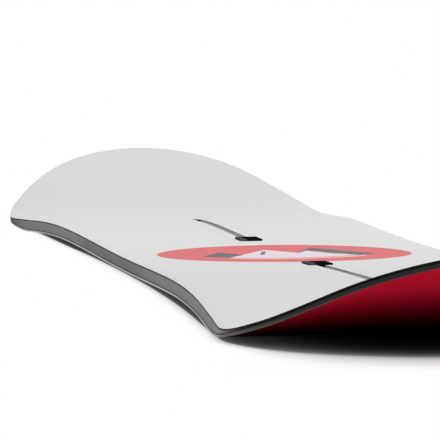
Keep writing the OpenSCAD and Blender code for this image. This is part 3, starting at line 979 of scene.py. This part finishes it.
def studio_floor(stage, deck):
    """Matt white floor with a painted shadow: dark under the deck, where it keeps the lamp's shadow too,
    and turning to plain white away from it, seen by the camera and in reflections. A place counts by a sum
    of squares: y over the deck's half width, and the part of x beyond 550 mm over 200 mm. From the brink of
    the painted shadow the share of white fades as an exponential on the inside; outside it starts higher
    beside the deck and nears 1 as another."""
    made = Recipe("studio_floor")
    x, y, _ = made.axes()
    across = y / half_width(deck, abs(x).both(deck.shoulder / MM))
    beyond = (abs(x) - 550).either(0) / 200
    flank, tip = across * across, beyond * beyond
    # the brink lies a little further in at the tips, most of all at the tail
    brink = 0.997 - abs(x).step(440, 600) * 0.033 - (x * -1).step(250, 600) * 0.13
    past = flank + tip - brink + tip * (tip * stage.shade_pull + 0.5)
    side = (1 - beyond * 2.5).either(0)
    edge, leap = stage.shade_edge - side * 0.08, side * stage.shade_leap
    # inside, the share of white dies away more slowly towards the middle line
    depth = ((1 - flank) * 0.25).either(0).both(0.1) + 0.05
    inner = (past.both(0) / depth).maths("EXPONENT")
    # outside, it nears 1 within a short way beside the deck and a longer one round the tips
    soft = side * (1 - (x * -1).step(100, 300) * 0.8) * stage.shade_soft
    reach = (tip * beyond).both(0.75) * stage.shade_tip + soft + 0.03
    outer = (past.either(0) / reach * -1).maths("EXPONENT")
    away = inner * edge + past.step(-0.012, 0.012) * leap + (1 - edge - leap) * (1 - outer)
    seen = made.seen()
    # the painted shadow looks darker still to the camera and in reflections than to bounced light
    dark = made.mixed(seen, stage.painted_shadow_tone, shaded(stage.painted_shadow_tone, 0.3))
    tone = made.mixed(away, dark, (stage.floor,) * 3)
    matt = made.node("ShaderNodeBsdfDiffuse", None, {"Color": tone})
    plain = made.node("ShaderNodeEmission", None, {"Color": (1, 1, 1, 1), "Strength": 1.0})
    return made.finish(made.node("ShaderNodeMixShader", None, (away * seen, matt, plain)))


# ---------------------------------------------------------------- operators


class DeckOperator:
    """What the operators share: the sizes and colours of the scene."""

    bl_options = {"REGISTER", "UNDO"}

    def setup(self, context):
        scene = context.scene
        self.deck = scene.deck_shape
        self.layers = scene.deck_layers
        self.channel = scene.deck_channels
        self.colours = scene.deck_colours


class DECK_OT_base_sheet(DeckOperator, bpy.types.Operator):
    """Sliding base, one smooth sheet inside the steel edges"""

    bl_idname = "deck.base_sheet"
    bl_label = "Base Sheet"

    def execute(self, context):
        self.setup(context)
        t = stations(self.deck)
        top, soft = (0, self.layers.base), 0.03 * MM
        patches = layer_patches(self.deck, t, (0, 0), top, self.layers.edge_width, soft)
        add_piece("sliding_base", patches, [ground_base(self.colours)], ["base_sheet"])
        return {"FINISHED"}


class DECK_OT_steel_edges(DeckOperator, bpy.types.Operator):
    """Steel edges along both sides and round both tips"""

    bl_idname = "deck.steel_edges"
    bl_label = "Steel Edges"

    def execute(self, context):
        self.setup(context)
        material = ground_steel(self.colours)
        width, height = self.layers.edge_width, self.layers.edge_height
        foot, soft = self.layers.base, 0.15 * MM
        inner = width + self.layers.flange
        profile = [
            (soft, 0, 0),
            (width, 0, 0),
            (width, 0, foot),
            (inner, 0, foot),
            (inner, 0, height),
            (soft, 0, height),
            (0, 0, height - soft),
            (0, 0, soft),
        ]
        core = (width / 2, 0, (foot + height) / 2)
        for name, side in SIDES.items():
            reach = self.layers.joint - self.layers.seam
            patches = side_strip(self.deck, profile, side, reach, core)
            add_piece(f"{name}_edge_steel", patches, [material], [f"{name}_steel_edge"])
        for name, end in ENDS.items():
            start = self.layers.joint + self.layers.seam
            patches = tip_strip(self.deck, profile, end, start, core)
            add_piece(f"{name}_edge_steel", patches, [material], [f"{name}_steel_edge"])
        return {"FINISHED"}


class DECK_OT_sidewalls(DeckOperator, bpy.types.Operator):
    """Sidewalls between the tips, milled flush with the steel edge"""

    bl_idname = "deck.sidewalls"
    bl_label = "Sidewalls"

    def execute(self, context):
        self.setup(context)
        material = milled_plastic(self.colours, "milled_sidewall", 0.5)
        low, drop, width = self.layers.lower, -self.layers.upper, self.layers.sidewall
        soft = 0.2 * MM
        profile = [
            (soft, 0, low),
            (width, 0, low),
            (width, 1, drop),
            (soft, 1, drop),
            (0, 1, drop - soft),
            (0, 0, low + soft),
        ]
        core = (width / 2, 0.5, 0)
        for name, side in SIDES.items():
            patches = side_strip(self.deck, profile, side, self.layers.joint, core)
            add_piece(f"{name}_wall", patches, [material], [f"{name}_sidewall"])
        return {"FINISHED"}


class DECK_OT_tip_spacers(DeckOperator, bpy.types.Operator):
    """Black spacers that fill the tips instead of the wood core"""

    bl_idname = "deck.tip_spacers"
    bl_label = "Tip Spacers"

    def execute(self, context):
        self.setup(context)
        material = milled_plastic(self.colours, "milled_spacer", 0.55)
        soft = 0.2 * MM
        start = place_of(self.deck, self.layers.joint, np.array([soft]))[0]
        levels = ((0, self.layers.lower), (1, -self.layers.upper))
        for name, end in ENDS.items():
            t = stations(self.deck, start, 2) if end > 0 else stations(self.deck, -2, -start)
            patches = layer_patches(self.deck, t, *levels, 0, soft)
            add_piece(f"{name}_tip_fill", patches, [material], [f"{name}_spacer"])
        return {"FINISHED"}


class DECK_OT_topsheet(DeckOperator, bpy.types.Operator):
    """Topsheet with its print and the openings of the channels"""

    bl_idname = "deck.topsheet"
    bl_label = "Topsheet"

    def execute(self, context):
        self.setup(context)
        print_sizes = context.scene.deck_print
        lacquer = topsheet_print(self.colours, print_sizes, self.deck, self.channel)
        materials = [lacquer, cut_edge(self.colours)]
        patches = topsheet_patches(self.deck, self.layers, self.channel)
        add_piece("printed_topsheet", patches, materials, ["topsheet"])
        return {"FINISHED"}


class DECK_OT_caps(DeckOperator, bpy.types.Operator):
    """Rubber caps on the loading ports and plugs in the outer ends of the slots"""

    bl_idname = "deck.caps"
    bl_label = "Caps and Plugs"

    def execute(self, context):
        self.setup(context)
        material = moulded_rubber(self.colours)
        for name, end in ENDS.items():
            cap = cap_patches(self.deck, self.channel, end)
            add_piece(f"{name}_port_cap", cap, [material], [f"{name}_channel_cap"])
            plug = plug_patches(self.deck, self.channel, end)
            add_piece(f"{name}_slot_plug", plug, [material], [f"{name}_channel_plug"])
        return {"FINISHED"}


class DECK_OT_nuts(DeckOperator, bpy.types.Operator):
    """Threaded nuts that slide in the channels, each on its own body"""

    bl_idname = "deck.nuts"
    bl_label = "Channel Nuts"

    def execute(self, context):
        self.setup(context)
        material = plated_zinc(self.colours)
        if not frame["joints"]:
            raise RuntimeError("the frame has no nut that slides")
        for joint in frame["joints"]:
            node = joint["child"].replace("_slider", "_nut")
            low, high = (np.array(corner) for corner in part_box(node))
            along = np.array(joint["axis"]) * np.sign(joint["axis"][0])
            patches = nut_patches((low + high) / 2, along, context.scene.deck_nuts)
            add_piece(f"{node}_zinc", patches, [material], [node], joint["child"], 40)
        return {"FINISHED"}


class DECK_OT_core(DeckOperator, bpy.types.Operator):
    """Finishes of the frame's own parts: core, laminates, rubber strips and tracks"""

    bl_idname = "deck.core"
    bl_label = "Core and Laminates"

    def execute(self, context):
        self.setup(context)
        tones = self.colours
        finishes = {
            "laminate": glass_laminate(tones),
            "edge_rubber": moulded_rubber(tones),
            "track": anodised_track(tones),
            "plank": planed_wood("poplar", tones.poplar),
            "rail": planed_wood("beech", tones.hardwood),
            "stringer": planed_wood("ash", shaded(tones.hardwood, 1.15)),
        }
        for ending, material in finishes.items():
            found = [node for name, node in frame["nodes"].items() if name.endswith(ending)]
            if not found:
                raise RuntimeError(f"the frame has no part that ends with {ending}")
            for node in found:
                node.data.materials.clear()
                node.data.materials.append(material)
        return {"FINISHED"}


class DECK_OT_stage(bpy.types.Operator):
    """Floor, soft light and camera"""

    bl_idname = "deck.stage"
    bl_label = "Stage"
    bl_options = {"REGISTER", "UNDO"}

    def execute(self, context):
        stage = context.scene.deck_stage
        self.floor(stage, context.scene.deck_shape)
        self.sky(context.scene, stage)
        self.lamp(context.scene, stage)
        self.camera(context.scene, stage)
        context.scene.view_settings.view_transform = "Standard"
        return {"FINISHED"}

    def floor(self, stage, deck):
        """A level sheet 30 m wide, a hair below the ground line."""
        side = np.linspace(-15, 15, 13)
        x, y = np.meshgrid(side, side, indexing="ij")
        grid = np.stack([x, y, np.full_like(x, -0.0002)], -1)
        floor = bpy.data.objects.new("studio_floor", mesh_of("studio_floor", [(grid, 0)]))
        floor.data.materials.append(studio_floor(stage, deck))
        bpy.context.scene.collection.objects.link(floor)
        if floor.data.polygons[0].normal.z < 0:
            floor.data.flip_normals()

    def sky(self, scene, stage):
        """Even light from all round, plain white where the camera or a reflection looks."""
        made = Recipe("studio_sky", "worlds")
        strength = made.seen() * (1 - stage.sky) + stage.sky
        values = {"Color": (1, 1, 1, 1), "Strength": strength}
        scene.world = made.finish(made.node("ShaderNodeBackground", None, values))

    def lamp(self, scene, stage):
        """A large square lamp high above the nose, which faces the middle of the deck."""
        light = bpy.data.lights.new("soft_lamp", "AREA")
        light.shape = "SQUARE"
        light.size = stage.lamp_size
        light.energy = stage.lamp
        lamp = bpy.data.objects.new("soft_lamp", light)
        flat, high = math.cos(stage.lamp_up), math.sin(stage.lamp_up)
        towards = Vector((flat * math.cos(stage.lamp_turn), -flat * math.sin(stage.lamp_turn), high))
        lamp.location = towards * stage.lamp_far
        lamp.rotation_euler = towards.to_track_quat("Z", "Y").to_euler()
        lamp.visible_camera = False
        scene.collection.objects.link(lamp)

    def camera(self, scene, stage):
        """The view direction from yaw and pitch, then a roll about it; the columns of the camera's
        matrix are right, up and backwards."""
        forward = np.array(
            [
                -math.cos(stage.yaw) * math.cos(stage.pitch),
                math.sin(stage.yaw) * math.cos(stage.pitch),
                -math.sin(stage.pitch),
            ]
        )
        right = np.cross(forward, (0, 0, 1))
        right /= np.linalg.norm(right)
        up = np.cross(right, forward)
        turned = math.cos(stage.roll) * right + math.sin(stage.roll) * up
        upright = math.cos(stage.roll) * up - math.sin(stage.roll) * right
        columns = np.stack([turned, upright, -forward, np.array(stage.eye)], 1)
        data = bpy.data.cameras.new("view")
        data.sensor_width = 36
        data.lens = stage.focal
        data.clip_end = 100
        camera = bpy.data.objects.new("view", data)
        camera.matrix_world = Matrix([*columns.tolist(), (0, 0, 0, 1)])
        scene.collection.objects.link(camera)
        scene.camera = camera


OPERATORS = (
    DECK_OT_stage,
    DECK_OT_base_sheet,
    DECK_OT_steel_edges,
    DECK_OT_sidewalls,
    DECK_OT_tip_spacers,
    DECK_OT_topsheet,
    DECK_OT_caps,
    DECK_OT_nuts,
    DECK_OT_core,
)
GROUPS = {
    "deck_shape": DeckShape,
    "deck_layers": LayerSizes,
    "deck_channels": ChannelSizes,
    "deck_nuts": NutSizes,
    "deck_print": PrintSizes,
    "deck_colours": DeckColours,
    "deck_stage": StageSettings,
}


class DECK_PT_pieces(bpy.types.Panel):
    """Lists the operators and the sizes that they use."""

    bl_idname = "DECK_PT_pieces"
    bl_label = "Snowboard Deck"
    bl_space_type = "VIEW_3D"
    bl_region_type = "UI"
    bl_category = "Deck"

    def draw(self, context):
        for operator in OPERATORS:
            self.layout.operator(operator.bl_idname)
        for attribute, group in GROUPS.items():
            box = self.layout.box()
            box.label(text=group.__name__)
            for name in group.__annotations__:
                box.prop(getattr(context.scene, attribute), name)


def register():
    for group in GROUPS.values():
        bpy.utils.register_class(group)
    for attribute, group in GROUPS.items():
        setattr(bpy.types.Scene, attribute, bpy.props.PointerProperty(type=group))
    for kind in (*OPERATORS, DECK_PT_pieces):
        bpy.utils.register_class(kind)


def unregister():
    for kind in (DECK_PT_pieces, *reversed(OPERATORS)):
        bpy.utils.unregister_class(kind)
    for attribute in GROUPS:
        delattr(bpy.types.Scene, attribute)
    for group in reversed(GROUPS.values()):
        bpy.utils.unregister_class(group)


def main():
    register()
    for operator in OPERATORS:
        area, action = operator.bl_idname.split(".")
        getattr(getattr(bpy.ops, area), action)()


if __name__ == "__main__":
    main()
